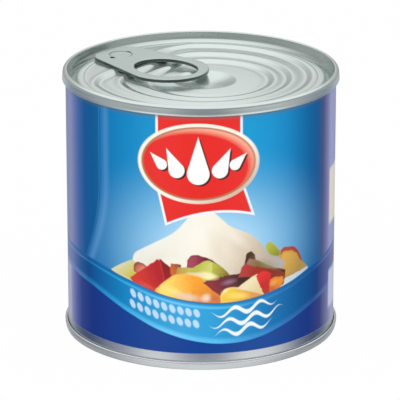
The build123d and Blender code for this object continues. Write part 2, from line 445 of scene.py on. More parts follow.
FRUIT = (
    # shadowed ground between the pieces
    Chunk(((-19.0, 24.6), (-12.0, 21.0), (0.0, 18.6), (8.6, 18.8), (7.6, 25.6), (3.0, 28.4), (-8.0, 29.2),
           (-16.0, 28.6)),
          "#C88A4C", "#5E2A1E", (-8.0, 22.0), (2.0, 28.0), corner=0.6),
    Chunk(((7.0, 18.8), (16.0, 19.0), (24.2, 22.0), (24.6, 26.0), (18.0, 28.4), (12.2, 29.0), (10.4, 25.6),
           (7.0, 24.4)),
          "#9A4A30", "#4E241C", (8.0, 21.0), (14.0, 28.0), corner=0.6),
    # pale melon at the far left
    Chunk(((-26.6, 25.6), (-25.0, 24.6), (-19.4, 23.8), (-17.8, 26.0), (-17.9, 29.0), (-19.4, 29.8),
           (-22.0, 28.6)),
          "#DAD5A6", "#D0C452", (-22.4, 28.0), (-19.8, 25.4), corner=0.4, rim="#D9D8BE"),
    # pinkish piece with a brown skin
    Chunk(((-18.9, 26.6), (-16.0, 25.4), (-14.0, 28.0), (-15.8, 29.3), (-17.8, 29.6), (-18.8, 28.6)),
          "#E58E74", "#B24E3C", (-16.2, 27.0), (-18.2, 28.9), rim="#7D3A26", rim_width=0.7),
    # red cube: dark right face, then the bright left one
    Chunk(((-12.8, 21.0), (-10.8, 22.0), (-6.7, 27.1), (-8.3, 29.0), (-11.2, 31.3)),
          "#A31D23", "#8C161A", (-10.0, 25.0), (-8.4, 28.4), corner=0.3),
    Chunk(((-20.2, 24.5), (-19.0, 23.6), (-12.0, 21.0), (-10.0, 24.0), (-9.9, 26.0), (-11.1, 30.8),
           (-11.8, 31.1)),
          "#D8382E", "#B41E25", (-17.8, 24.8), (-12.0, 27.4), corner=0.3, rim="#D23C36", rim_width=0.5),
    # orange-brown crumb beside it
    Chunk(((-8.3, 27.0), (-5.8, 26.4), (-5.2, 30.0), (-8.2, 30.2)),
          "#CB6830", "#8E4A28", (-7.4, 28.4), (-5.8, 29.8), corner=0.4),
    # dark plum under the cream
    Chunk(((-3.8, 28.2), (4.2, 28.2), (5.2, 29.6), (3.0, 31.6), (0.4, 32.5), (-1.2, 33.0), (-2.8, 32.6),
           (-3.8, 30.8)),
          "#A8485C", "#701E28", (-2.4, 31.2), (1.8, 31.4), rim="#7C2630", rim_width=0.5),
    # kiwi: left, middle and shaded right
    Chunk(((-6.6, 26.8), (0.4, 26.4), (0.4, 29.2), (-2.8, 29.2), (-6.4, 30.0)),
          "#CBC163", "#BD9C48", (-2.0, 28.2), (-6.0, 28.8), corner=0.5),
    Chunk(((-2.8, 26.0), (3.6, 25.4), (5.2, 29.3), (2.4, 31.4), (0.8, 31.1), (-3.4, 28.4)),
          "#D3D672", "#BDBB48", (2.2, 28.4), (-1.0, 29.6), corner=0.5, rim="#C4C35C"),
    Chunk(((2.6, 25.6), (6.6, 25.6), (7.9, 27.0), (5.0, 29.9), (3.2, 30.9)),
          "#BCBA46", "#86762C", (3.4, 29.0), (6.8, 26.8), corner=0.5),
    # yellow to orange peach
    Chunk(((-12.8, 21.8), (-6.0, 18.6), (1.4, 18.6), (2.4, 24.6), (-0.4, 27.0), (-3.2, 27.8), (-7.4, 27.0),
           (-10.2, 24.8)),
          "#FFDE6A", "#FBA22E", (-9.8, 23.4), (-1.4, 24.4), corner=0.6, rim="#F3BE5C"),
    Chunk(((-2.6, 18.6), (6.0, 18.8), (6.2, 20.8), (2.8, 23.8), (0.4, 26.6), (-2.0, 26.6)),
          "#FBA833", "#E08038", (-1.6, 25.4), (4.2, 21.0), corner=0.6),
    # dark sliced fig: left lobe and the long shadowed slice
    Chunk(((-0.4, 24.3), (4.0, 22.0), (5.8, 20.4), (7.0, 22.4), (9.4, 23.4), (9.4, 26.9), (4.6, 26.4),
           (1.8, 25.6)),
          "#943640", "#5C2A30", (3.0, 23.6), (7.6, 25.9), corner=0.3, rim="#7A3A34"),
    Chunk(((6.0, 22.4), (10.6, 22.6), (13.4, 24.4), (15.8, 26.0), (12.0, 27.2), (6.0, 26.8)),
          "#6B3338", "#3F2018", (7.2, 24.8), (11.2, 25.8), corner=0.3),
    # dark hollow and the pink and olive rim behind the red slice
    Chunk(((11.8, 29.0), (15.0, 29.8), (15.0, 31.8), (13.9, 33.2), (12.4, 32.4)),
          "#4A2A18", "#6A4A34", (13.2, 31.8), (14.6, 30.4), corner=0.6),
    Chunk(((11.8, 28.6), (18.6, 26.6), (23.6, 24.8), (20.6, 27.6), (16.2, 30.0), (13.4, 31.0)),
          "#A4786A", "#7E6C3A", (13.0, 30.6), (15.6, 28.8), corner=0.4),
    # red slice, left to right
    Chunk(((10.2, 26.0), (15.6, 25.6), (17.2, 27.6), (14.4, 28.8), (12.2, 29.9), (11.2, 28.8)),
          "#BC3A34", "#97261A", (11.8, 28.0), (15.6, 27.0), corner=0.4, rim="#A8443A"),
    Chunk(((14.2, 25.2), (19.4, 24.4), (21.0, 26.8), (15.2, 28.6)),
          "#A62A1A", "#972A1A", (15.6, 27.4), (19.2, 26.0), corner=0.4),
    Chunk(((18.4, 23.2), (23.6, 23.2), (24.6, 24.6), (23.2, 26.2), (19.0, 27.6)),
          "#8C2822", "#87381E", (19.6, 26.0), (22.6, 24.6), corner=0.4),
    # yellow pineapple along the bottom
    Chunk(((5.4, 18.4), (15.0, 18.6), (18.8, 19.8), (15.2, 22.0), (11.6, 22.9), (8.8, 23.5), (6.4, 23.0),
           (5.2, 21.2)),
          "#F6CB48", "#E49A4A", (8.0, 22.2), (15.0, 20.4), corner=0.6, rim="#F8DA84"),
    # pale apple wedge
    Chunk(((9.6, 22.8), (14.0, 21.4), (18.4, 20.0), (17.2, 23.4), (15.6, 26.4), (14.8, 26.2)),
          "#F2E4B6", "#E2CD94", (14.0, 24.4), (16.4, 21.4), corner=0.3, rim="#E8CFA4", rim_width=0.4),
    # red cube at the right: bright top, darker foot
    Chunk(((15.2, 26.0), (16.6, 22.2), (19.6, 22.0), (20.0, 25.8), (17.4, 27.0)),
          "#E2302E", "#CC2226", (17.0, 25.8), (18.8, 23.2), corner=0.4),
    Chunk(((16.4, 23.4), (18.0, 19.4), (20.2, 20.4), (19.8, 23.8)),
          "#C42424", "#B53A26", (17.6, 23.0), (19.0, 20.6), corner=0.4),
    # small orange cube
    Chunk(((19.5, 20.4), (22.4, 20.8), (24.3, 22.8), (23.8, 24.2), (21.6, 24.6), (19.4, 24.1)),
          "#EA922E", "#CE5A2A", (21.8, 23.2), (20.0, 21.2), corner=0.5, rim="#DE7434"),
)

# Soft light and shade where the cream folds over itself.
FOLDS = (
    Blob((-1.2, 38.4), (3.4, 5.4), "#FCF8EC", turn=-8.0, softness=0.8, strength=0.6),
    Blob((12.4, 34.6), (4.8, 2.4), "#D6C7AF", turn=-35.0, softness=0.9, strength=0.55),
    Blob((5.2, 33.0), (1.5, 4.8), "#E2D6C0", turn=20.0, softness=0.9, strength=0.5),
    Blob((-13.4, 30.6), (4.6, 1.6), "#E2DBCB", turn=28.0, softness=0.9, strength=0.5),
    Blob((9.0, 37.6), (3.6, 1.1), "#F8F1E2", turn=-38.0, softness=0.8, strength=0.6),
)

HIGHLIGHTS = (
    Blob((1.9, 26.9), (2.3, 0.9), "#FFF3B4", turn=-12.0, softness=0.5),
    Blob((-0.6, 27.3), (2.6, 0.45), "#F2E3C4", turn=-6.0, softness=0.5, strength=0.8),
    Blob((-8.0, 22.4), (2.3, 0.9), "#FFE98C", turn=-15.0, softness=0.6, strength=0.8),
    Blob((-3.6, 20.9), (2.9, 0.8), "#EBD3BC", turn=-9.0, softness=0.6, strength=0.85),
    Blob((1.4, 20.6), (1.2, 1.0), "#F6DFC4", turn=20.0, softness=0.5, strength=0.85),
    Blob((3.9, 20.3), (1.3, 0.7), "#C8704A", turn=-30.0, softness=0.6, strength=0.7),
    Blob((7.6, 24.9), (1.6, 0.6), "#9C7088", turn=12.0, softness=0.7, strength=0.85),
    Blob((10.0, 20.8), (2.6, 0.8), "#FFE26C", turn=-6.0, softness=0.5, strength=0.8),
    Blob((6.6, 22.3), (1.1, 0.5), "#FFF0B8", turn=30.0, softness=0.6, strength=0.6),
    Blob((-14.6, 22.9), (2.4, 0.5), "#DB6450", turn=-20.0, softness=0.6, strength=0.5),
    Blob((19.2, 28.6), (2.6, 0.8), "#A59A7C", turn=-28.0, softness=0.8, strength=0.6),
    Blob((20.6, 22.9), (1.0, 0.7), "#F5B060", turn=10.0, softness=0.6, strength=0.6),
)

# Upper and lower edge of the wave band: label place to height, in mm.
BAND_TOP = (
    (-60.0, 27.2), (-36.0, 26.9), (-30.0, 26.1), (-20.0, 23.7), (-10.0, 20.9), (0.0, 19.3), (7.0, 19.0),
    (15.0, 19.7), (25.0, 21.7), (35.0, 24.3), (60.0, 27.0),
)
BAND_FOOT = (
    (-60.0, 20.2), (-36.0, 19.4), (-30.0, 18.0), (-20.0, 14.2), (-10.0, 10.3), (0.0, 7.9), (8.0, 7.3),
    (15.0, 7.9), (25.0, 10.4), (35.0, 13.2), (60.0, 16.5),
)
# Height in mm that a curve's full scale stands for.
LINE_FULL_SCALE = 80.0

# Inks across the panel: place in mm from its middle to colour. They darken to the can's sides, partly as
# print and partly as painted shade, and the pale lavender past about 44 mm is painted reflection of the
# surround at the wall's grazing edges.
SIDE_BLUES = (
    (-58.4, "#6C74A6"), (-52.0, "#727AA4"), (-47.0, "#7E88B8"), (-44.0, "#6676AD"), (-41.0, "#3E64A2"),
    (-37.5, "#0E5594"), (-34.0, "#005893"), (-30.5, "#005F96"), (30.0, "#005F96"), (58.4, "#6C74A6"),
)
PANEL_BLUES = (
    (-38.0, "#2F6FAE"), (-28.0, "#0074B2"), (-25.0, "#007CB8"), (-20.0, "#0085C0"), (-13.0, "#0090CA"),
    (0.0, "#0096CE"), (14.0, "#0097D0"), (20.0, "#0090CB"), (25.0, "#0085C1"), (30.0, "#0072AC"),
    (34.0, "#00629E"), (38.0, "#0E5794"), (41.0, "#40507F"), (44.0, "#7371A3"), (47.0, "#959CC6"),
    (51.0, "#8E93C2"), (58.4, "#6C74A6"),
)
FOOT_NAVY = (
    (-58.4, "#7C82AE"), (-50.0, "#B0B4D0"), (-47.0, "#7D84B4"), (-44.0, "#5964A6"), (-40.0, "#2A4189"),
    (-34.0, "#123182"), (-20.0, "#053E92"), (0.0, "#0A4195"), (20.0, "#084796"), (34.0, "#123484"),
    (40.0, "#343E7F"), (46.0, "#7C7CA6"), (50.0, "#A5A7C6"), (58.4, "#7C82AE"),
)
BAND_CYAN = (
    (-58.4, "#6A74AC"), (-46.0, "#5E72AC"), (-40.0, "#1C5694"), (-36.0, "#00498A"), (-30.0, "#0060A1"),
    (-22.0, "#0080BE"), (-14.0, "#2099D2"), (-5.0, "#3DA8DE"), (3.0, "#30A2DA"), (12.0, "#158CC8"),
    (20.0, "#0074B4"), (30.0, "#005898"), (38.0, "#103F82"), (44.0, "#4C5690"), (58.4, "#6A74AC"),
)
BAND_SHINE = (
    (-58.4, "#8A94C0"), (-46.0, "#6F84B8"), (-36.0, "#1870B0"), (-26.0, "#1E9BD4"), (-16.0, "#4ABBEA"),
    (-8.0, "#6ECCFA"), (4.0, "#5CC1F2"), (14.0, "#3898D8"), (24.0, "#2C73BA"), (36.0, "#24559A"),
    (46.0, "#6A78B0"), (58.4, "#8A94C0"),
)

# The halo round the fruit, and the two pale lines beside the fold: place past it, softness, growth,
# strength and ink.
HALO = Blob((3.0, 34.0), (41.0, 30.0), "#A2D3F0")
FOLD_LEFT, FOLD_STRAIGHT_FROM, FOLD_BEND = 30.3, 50.0, 0.0118
FOLD_LINES = ((2.1, 2.0, 0.7, 0.3, "#7FB4E6"), (-0.5, 0.6, 0.1, 0.5, "#4C93CE"))

# The side panel's pale fields: foot, top and ink of each, and the middle and half width of both.
SIDE_FIELDS = ((33.0, 49.0, "#E6DCCF"), (8.5, 19.5, "#C9CFE8"))
SIDE_FIELD_MIDDLE, SIDE_FIELD_HALF, SIDE_FIELD_CORNER = 52.9, 6.6, 1.5

# The banner's upright part, its leaning tail, and the place, bend and height of its arched foot.
BANNER_RED = "#E62A24"
BANNER_UPPER = ((-11.6, 52.0), (10.6, 52.0), (10.6, 80.0), (-11.6, 80.0))
BANNER_TAIL = ((-8.5, 39.0), (15.6, 39.0), (10.45, 54.0), (-12.0, 54.0))
ARCH_MIDDLE, ARCH_BEND, ARCH_HEIGHT = 5.4, -0.0176, 45.35
BANNER_BORDER = 0.65

# The badge's ovals, from the white ring inwards, and the bright side of its red field.
BADGE_MIDDLE = (-0.68, 58.45)
BADGE_RING, BADGE_LINE, BADGE_FIELD = (16.7, 11.15), (15.7, 10.25), (15.2, 9.8)
BADGE_GLOW = Blob((-2.2, 57.2), (15.0, 9.6), "#FFC3A4", strength=0.85)
# Middle, size, length and lean of each milk drop in the badge, and the offset and ink of its two prints.
DROPS = (
    (-10.6, 57.9, 1.5, 4.4, -46.0), (-6.5, 56.5, 2.15, 6.6, -25.0), (-0.7, 55.6, 3.0, 10.2, 0.0),
    (5.1, 56.5, 2.15, 6.6, 25.0), (9.2, 57.9, 1.5, 4.4, 46.0),
)
DROP_PRINTS = ((0.5, -0.4, "#4A1A14"), (0.0, 0.0, "#FFFCF8"))

# The band's rows of beads: depth below its edge, start and end. Its waves: middle, height, reach, phase.
BEAD_ROWS = ((3.2, -19.35, 0.0), (6.3, -20.15, -0.8))
BEAD_PITCH, BEAD_HALF_HEIGHT, BEAD_HALF_WIDTH, BEAD_LEAN = 2.15, 1.15, 0.82, 0.2
WAVES = ((12.3, 16.9, 9.6, 0.0), (13.0, 14.0, 10.9, 1.3), (12.0, 11.1, 8.4, 2.6))
WAVE_LENGTH, WAVE_FALL = 7.4, 0.13

# Width in mm of an ink's soft edge.
INK_EDGE = 0.3


@dataclass(frozen=True)
class PrintedTinplate:
    """Offset-printed tinplate under a clear stoving lacquer: flat inks with a wet gloss.

    The print reads the wall's own map, whose unit is one mm round the wall and up it.
    """

    name: str = "printed_lacquered_tinplate"
    wall_radius: float = 37.2
    print_foot: float = 4.55
    print_top: float = 71.9
    weld_place: float = 63.0
    roughness: float = 0.32
    specular: float = 0.05
    bare_colour: str = "#C9CCCD"
    bare_roughness: float = 0.2
    lacquer_weight: float = 0.3
    lacquer_roughness: float = 0.06
    lacquer_ior: float = 1.5

    def panel_pitch(self) -> float:
        """Half of the wall's way round in mm, after which the label repeats."""
        return math.pi * self.wall_radius

    def material(self) -> bpy.types.Material:
        """Builds the lacquered print over bare metal.

        Returns:
            The finished material.
        """
        material, tree = start_material(self.name)
        ink = LabelInk(tree, self.panel_pitch())
        colour = ink.background()
        for layer in (ink.picture, ink.wave_band, ink.side_panel, ink.banner, ink.badge):
            colour = layer(colour)
        # Painted shadow cast by the top seam onto the print.
        colour = ink.seam_painted_shadow(colour, self.print_top)
        bare = ink.bare_metal(self.print_foot, self.print_top, self.weld_place)
        inks = {"Factor": bare, UNDER: colour, OVER: linear(self.bare_colour)}
        surface = add_node(tree, "Mix", inks, data_type="RGBA")
        rough = add_node(
            tree, "MapRange", {"Value": bare, "To Min": self.roughness, "To Max": self.bare_roughness}
        )
        shader_links = {
            "Base Color": surface.outputs[MIXED],
            "Metallic": bare,
            "Roughness": rough.outputs[0],
            "Specular IOR Level": self.specular,
            "Coat Weight": self.lacquer_weight,
            "Coat Roughness": self.lacquer_roughness,
            "Coat IOR": self.lacquer_ior,
        }
        shader = add_node(tree, "BsdfPrincipled", shader_links)
        add_node(tree, "OutputMaterial", {"Surface": shader.outputs[0]})
        return material


class LabelInk:
    """Lays the label's inks one over another, as colour sockets in one node tree."""

    WOBBLE_PER_MM = 0.55
    WANDER = 0.62
    MOTTLE_PER_MM = 1.1

    def __init__(self, tree: Tree, pitch: float) -> None:
        """Reads the wall's map and folds it to one label panel.

        Args:
            tree: The material's node tree.
            pitch: Width of one panel in mm, after which the label repeats.
        """
        self.tree = tree
        self.pitch = pitch
        wall_map = add_node(tree, "UVMap", uv_map="LabelMM").outputs[0]
        parts = add_node(tree, "SeparateXYZ", {0: wall_map})
        self.height = parts.outputs[1]
        self.round_wall = parts.outputs[0]
        self.across = self.add("Math", self.round_wall, pitch / 2, -pitch / 2, operation="WRAP")
        self.place = self.add("CombineXYZ", self.across, self.height, 1.0)
        wobble = add_node(
            tree, "TexNoise", {"Vector": wall_map, "Scale": self.WOBBLE_PER_MM, "Detail": 2.0}
        )
        drift = add_node(tree, "SeparateColor", {0: wobble.outputs["Color"]})
        wander = []
        for axis, straight in enumerate((self.across, self.height)):
            start = self.add("Math", straight, self.WANDER / 2, operation="SUBTRACT")
            spread = drift.outputs[axis]
            wander.append(self.add("Math", spread, self.WANDER, start, operation="MULTIPLY_ADD"))
        self.organic = self.add("CombineXYZ", *wander, 1.0)
        cloud = {"Vector": wall_map, "Scale": self.MOTTLE_PER_MM, "Detail": 4.0, "Roughness": 0.6}
        self.mottle = add_node(tree, "TexNoise", cloud).outputs[0]

    def add(self, kind: str, *values: Socket | float, **settings: object) -> Socket:
        """Adds a node of any kind, fed in the order of its inputs, and gives its first output."""
        return add_node(self.tree, kind, dict(enumerate(values)), **settings).outputs[0]

    def over(self, below: Socket | Colour, ink: Socket | str, mask: Socket | float) -> Socket:
        """Lays an ink over what is below it.

        Args:
            below: The colour so far.
            ink: A hex colour or a colour socket.
            mask: How much of the ink shows, 0 to 1.

        Returns:
            The colour with the ink on it.
        """
        links = {"Factor": mask, UNDER: below, OVER: linear(ink) if isinstance(ink, str) else ink}
        return add_node(self.tree, "Mix", links, data_type="RGBA").outputs[MIXED]

    def ramp(self, value: Socket, inks: Inks) -> Socket:
        """Inks by a value that runs from 0 to 1."""
        return colour_by(self.tree, value, [(position, linear(ink)) for position, ink in inks])

    def across_stops(self, inks: Inks) -> Socket:
        """Inks by the place across the panel, given in mm from its middle."""
        share = self.add("Math", self.across, 1 / self.pitch, 0.5, operation="MULTIPLY_ADD")
        half = self.pitch / 2
        return self.ramp(share, tuple(((place + half) / self.pitch, ink) for place, ink in inks))

    def height_on(self, line: tuple[Point, ...]) -> Socket:
        """Height in mm of a smooth line at each place across the panel.

        Args:
            line: Place across and height of each of its points, in mm, in order.

        Returns:
            The height socket.
        """
        low, high = line[0][0], line[-1][0]
        share = self.add(
            "Math",
            self.across,
            1 / (high - low),
            -low / (high - low),
            operation="MULTIPLY_ADD",
        )
        node = add_node(self.tree, "FloatCurve", {"Value": share})
        curve = node.mapping.curves[0]
        curve.points[0].location = (0.0, line[0][1] / LINE_FULL_SCALE)
        curve.points[1].location = (1.0, line[-1][1] / LINE_FULL_SCALE)
        for place, height in line[1:-1]:
            curve.points.new((place - low) / (high - low), height / LINE_FULL_SCALE)
        node.mapping.update()
        return self.add("Math", node.outputs[0], LINE_FULL_SCALE, operation="MULTIPLY")

    def outline(self, points: tuple[Point, ...], corner: float, organic: bool) -> Socket:
        """Distance outside a convex outline in mm, negative inside it.

        Args:
            points: The outline, anticlockwise.
            corner: Blend between neighbouring sides, in mm.
            organic: Whether the outline wanders a little, as a cut fruit's does.

        Returns:
            The distance socket.
        """
        distance = None
        for (x0, y0), (x1, y1) in zip(points, points[1:] + points[:1]):
            length = math.hypot(x1 - x0, y1 - y0)
            nx, ny = (y1 - y0) / length, -(x1 - x0) / length
            side = self.along((nx, ny, -(nx * x0 + ny * y0)), organic)
            if distance is None:
                distance = side
            else:
                distance = self.add("Math", distance, side, corner, operation="SMOOTH_MAX")
        return distance

    def ellipse(self, centre: Point, radii: Point, turn: float = 0.0) -> Socket:
        """Distance outside an ellipse, as a share of its radii, negative inside it.

        Args:
            centre: Its middle.
            radii: Its two radii.
            turn: How far it is turned, in degrees.

        Returns:
            The distance socket.
        """
        cos, sin = math.cos(math.radians(turn)), math.sin(math.radians(turn))
        shares = []
        for radius, x, y in ((radii[0], cos, sin), (radii[1], -sin, cos)):
            middle = x * centre[0] + y * centre[1]
            shares.append(self.along((x / radius, y / radius, -middle / radius)))
        joined = self.add("CombineXYZ", *shares)
        length = add_node(self.tree, "VectorMath", {0: joined}, operation="LENGTH").outputs["Value"]
        return self.add("Math", length, 1.0, operation="SUBTRACT")

    def along(self, weights: tuple[float, float, float], organic: bool = False) -> Socket:
        """A straight measure over the label: weights for across, height and a fixed amount."""
        links = {0: self.organic if organic else self.place, 1: weights}
        return add_node(self.tree, "VectorMath", links, operation="DOT_PRODUCT").outputs["Value"]

    def inside(self, distance: Socket, softness: float = INK_EDGE, grow: float = 0.0) -> Socket:
        """Turns a distance into a mask: 1 inside, 0 outside, with an edge as wide as softness."""
        return self.add(
            "Math",
            distance,
            -1.0 / softness,
            0.5 + grow / softness,
            operation="MULTIPLY_ADD", use_clamp=True,
        )

    def chunk(self, below: Socket, patch: Chunk, grain: float = 0.5, rim_strength: float = 0.8) -> Socket:
        """Lays one shaded patch of ink, whose outline wanders as a cut fruit's does.

        Args:
            below: The colour so far.
            patch: The patch.
            grain: How far the mottle shifts its shading.
            rim_strength: How much its rim shows.

        Returns:
            The colour with the patch on it.
        """
        distance = self.outline(patch.outline, patch.corner, True)
        (x0, y0), (x1, y1) = patch.glow, patch.shade
        span = (x1 - x0) ** 2 + (y1 - y0) ** 2
        slope = ((x1 - x0) / span, (y1 - y0) / span)
        share = self.along((slope[0], slope[1], -(slope[0] * x0 + slope[1] * y0)))
        grainy = self.add("Math", self.mottle, grain, -grain / 2, operation="MULTIPLY_ADD")
        share = self.add("Math", share, grainy, operation="ADD", use_clamp=True)
        ink = self.over(linear(patch.light), patch.dark, share)
        if patch.rim:
            rim = self.add(
                "Math",
                distance,
                1.0 / patch.rim_width,
                1.0,
                operation="MULTIPLY_ADD", use_clamp=True,
            )
            ink = self.over(ink, patch.rim, self.add("Math", rim, rim_strength, operation="MULTIPLY"))
        return self.over(below, ink, self.inside(distance))

    def blob(self, below: Socket, spot: Blob, within: Socket | None = None) -> Socket:
        """Lays one soft elliptical patch of ink.

        Args:
            below: The colour so far.
            spot: The patch.
            within: A mask that the patch stays in, where it has one.

        Returns:
            The colour with the patch on it.
        """
        distance = self.ellipse(spot.centre, spot.radii, spot.turn)
        mask = self.inside(distance, spot.softness * 2.0)
        if spot.strength < 1.0:
            mask = self.add("Math", mask, spot.strength, operation="MULTIPLY")
        if within is not None:
            mask = self.add("Math", mask, within, operation="MULTIPLY")
        return self.over(below, spot.colour, mask)

    def background(self) -> Socket:
        """The blue field: darker to the sides, partly as print and partly as painted shade, with a sky-light
        halo round the fruit.

        Returns:
            The colour socket.
        """
        outer = self.across_stops(SIDE_BLUES)
        inner = self.across_stops(PANEL_BLUES)
        glow = self.add(
            "Math",
            self.ellipse(HALO.centre, HALO.radii),
            -1.33,
            0.06,
            operation="MULTIPLY_ADD", use_clamp=True,
        )
        inner = self.over(inner, HALO.colour, self.add("Math", glow, 2.0, operation="POWER"))
        fold = self.fold_distance()
        colour = self.over(outer, inner, self.add("Math", fold, 0.0, operation="GREATER_THAN"))
        for place, softness, grow, strength, ink in FOLD_LINES:
            line = self.add(
                "Math",
                self.add("Math", fold, place, operation="SUBTRACT"),
                operation="ABSOLUTE",
            )
            colour = self.over(
                colour,
                ink,
                self.add("Math", self.inside(line, softness, grow), strength, operation="MULTIPLY"),
            )
        return colour

    def fold_distance(self) -> Socket:
        """Distance in mm to the right of the curved fold at the panel's left side."""
        drop = self.add(
            "Math",
            self.add("Math", FOLD_STRAIGHT_FROM, self.height, operation="SUBTRACT"),
            0.0,
            operation="MAXIMUM",
        )
        lean = self.add(
            "Math",
            self.add("Math", drop, drop, operation="MULTIPLY"),
            FOLD_BEND,
            operation="MULTIPLY",
        )
        return self.add(
            "Math",
            self.add("Math", self.across, FOLD_LEFT, operation="ADD"),
            lean,
            operation="ADD",
        )

    def side_panel(self, below: Socket) -> Socket:
        """The plain pale fields of the side panel, left blank.

        Args:
            below: The colour so far.

        Returns:
            The colour with the fields on it.
        """
        turned = self.add("Math", self.round_wall, self.pitch, 0.0, operation="WRAP")
        colour = below
        for low, high, ink in SIDE_FIELDS:
            aside = self.add(
                "Math",
                self.add("Math", turned, SIDE_FIELD_MIDDLE, operation="SUBTRACT"),
                operation="ABSOLUTE",
            )
            aside = self.add("Math", aside, SIDE_FIELD_HALF, operation="SUBTRACT")
            above = self.add(
                "Math",
                self.add("Math", self.height, (low + high) / 2, operation="SUBTRACT"),
                operation="ABSOLUTE",
            )
            above = self.add("Math", above, (high - low) / 2, operation="SUBTRACT")
            field_edge = self.add("Math", aside, above, SIDE_FIELD_CORNER, operation="SMOOTH_MAX")
            colour = self.over(colour, ink, self.inside(field_edge, 1.2))
        return colour

    def picture(self, below: Socket) -> Socket:
        """The mound of cream on diced fruit.

        Args:
            below: The colour so far.

        Returns:
            The colour with the picture on it.
        """
        mound = None
        for outline in CREAM:
            body = self.outline(outline, 0.8, False)
            mound = body if mound is None else self.add("Math", mound, body, 1.6, operation="SMOOTH_MIN")
        drift = self.along((0.0215, -0.0125, 0.86))
        soft = self.add(
            "Math",
            self.add("Math", self.mottle, 0.5, operation="SUBTRACT"),
            0.05,
            drift,
            operation="MULTIPLY_ADD", use_clamp=True,
        )
        colour = below
        for patch in BEHIND:
            colour = self.chunk(colour, patch)
        tones = self.ramp(soft, CREAM_TONES)
        cream = self.inside(mound, 0.35)
        colour = self.over(colour, tones, cream)
        for spot in FOLDS:
            colour = self.blob(colour, spot, cream)
        for patch in FRUIT:
            colour = self.chunk(colour, patch)
        for spot in HIGHLIGHTS:
            colour = self.blob(colour, spot)
        return colour

    def wave_band(self, below: Socket) -> Socket:
        """The cyan wave band, the navy field under it and the marks in the band.

        Args:
            below: The colour so far.

        Returns:
            The colour with the band on it.
        """
        top = self.height_on(BAND_TOP)
        foot = self.height_on(BAND_FOOT)
        under_top = self.add("Math", top, self.height, operation="SUBTRACT")
        over_foot = self.add("Math", self.height, foot, operation="SUBTRACT")
        # The stops' darker sides are partly painted shade, and their pale lavender ends are painted
        # reflection at the wall's grazing edges.
        navy = self.across_stops(FOOT_NAVY)
        cyan = self.across_stops(BAND_CYAN)
        shine = self.across_stops(BAND_SHINE)
        colour = self.over(
            below,
            navy,
            self.add("Math", under_top, 3.0, 0.5, operation="MULTIPLY_ADD", use_clamp=True),
        )
        band = self.add("Math", over_foot, 3.0, 0.5, operation="MULTIPLY_ADD", use_clamp=True)
        inked = self.over(
            cyan,
            "#0A6CA8",
            self.add("Math", under_top, -1.2, 1.0, operation="MULTIPLY_ADD", use_clamp=True),
        )
        seam_line = self.add(
            "Math",
            self.add("Math", under_top, 1.35, operation="SUBTRACT"),
            operation="ABSOLUTE",
        )
        inked = self.over(inked, shine, self.inside(seam_line, 0.5, grow=0.3))
        inked = self.over(
            inked,
            shine,
            self.add("Math", over_foot, -0.9, 1.7, operation="MULTIPLY_ADD", use_clamp=True),
        )
        inked = self.waves(self.beads(inked, under_top))
        visible = self.add(
            "Math",
            band,
            self.add("Math", under_top, 3.0, 0.5, operation="MULTIPLY_ADD", use_clamp=True),
            operation="MULTIPLY",
        )
        return self.over(colour, inked, visible)

    def beads(self, below: Socket, under_top: Socket) -> Socket:
        """Two rows of plain slanted beads, where a can has its product name.

        Args:
            below: The band's colour.
            under_top: Distance below the band's upper edge in mm.

        Returns:
            The colour with the beads on it.
        """
        colour = below
        slant = self.add(
            "Math",
            self.add("Math", self.height, 16.0, operation="SUBTRACT"),
            BEAD_LEAN,
            self.across,
            operation="MULTIPLY_ADD",
        )
        for row, (depth, start, end) in enumerate(BEAD_ROWS):
            beads = self.add("Math", slant, 1 / BEAD_PITCH, 0.37 * row, operation="MULTIPLY_ADD")
            level = self.add(
                "Math",
                under_top,
                1 / BEAD_HALF_HEIGHT,
                -depth / BEAD_HALF_HEIGHT,
                operation="MULTIPLY_ADD",
            )
            pitches = BEAD_PITCH / BEAD_HALF_WIDTH
            stem = self.add(
                "Math",
                self.add("Math", beads, operation="FRACT"),
                pitches,
                -pitches / 2,
                operation="MULTIPLY_ADD",
            )
            bead = self.add(
                "Math",
                level,
                level,
                self.add("Math", stem, stem, operation="MULTIPLY"),
                operation="MULTIPLY_ADD",
            )
            bead = self.add("Math", bead, 0.45, -0.45, operation="MULTIPLY_ADD")
            aside = self.add("Math", slant, (start + end) / 2, operation="SUBTRACT")
            ends = self.add(
                "Math",
                self.add("Math", aside, operation="ABSOLUTE"),
                (end - start) / 2,
                operation="SUBTRACT",
            )
            edge = self.add("Math", bead, ends, operation="MAXIMUM")
            colour = self.over(
                colour,
                "#CFEBFF",
                self.add("Math", self.inside(edge, 0.35), 0.8, operation="MULTIPLY"),
            )
        return colour

    def waves(self, below: Socket) -> Socket:
        """Three brushed waves that thin out to their ends, where a can has a script word.

        Args:
            below: The band's colour.

        Returns:
            The colour with the waves on it.
        """
        colour = below
        for middle, centre, reach, phase in WAVES:
            level = self.along((-WAVE_FALL, 1.0, WAVE_FALL * middle - centre))
            swell = self.add(
                "Math",
                self.add("Math", self.across, math.tau / WAVE_LENGTH, phase, operation="MULTIPLY_ADD"),
                operation="SINE",
            )
            gap = self.add(
                "Math",
                self.add("Math", swell, -1.0, level, operation="MULTIPLY_ADD"),
                operation="ABSOLUTE",
            )
            far = self.add("Math", self.across, 1 / reach, -middle / reach, operation="MULTIPLY_ADD")
            taper = self.add(
                "Math",
                self.add("Math", far, far, operation="MULTIPLY"),
                0.75,
                -0.62,
                operation="MULTIPLY_ADD",
            )
            colour = self.over(
                colour,
                "#F2FBFF",
                self.inside(self.add("Math", gap, taper, operation="ADD"), 0.4),
            )
        return colour

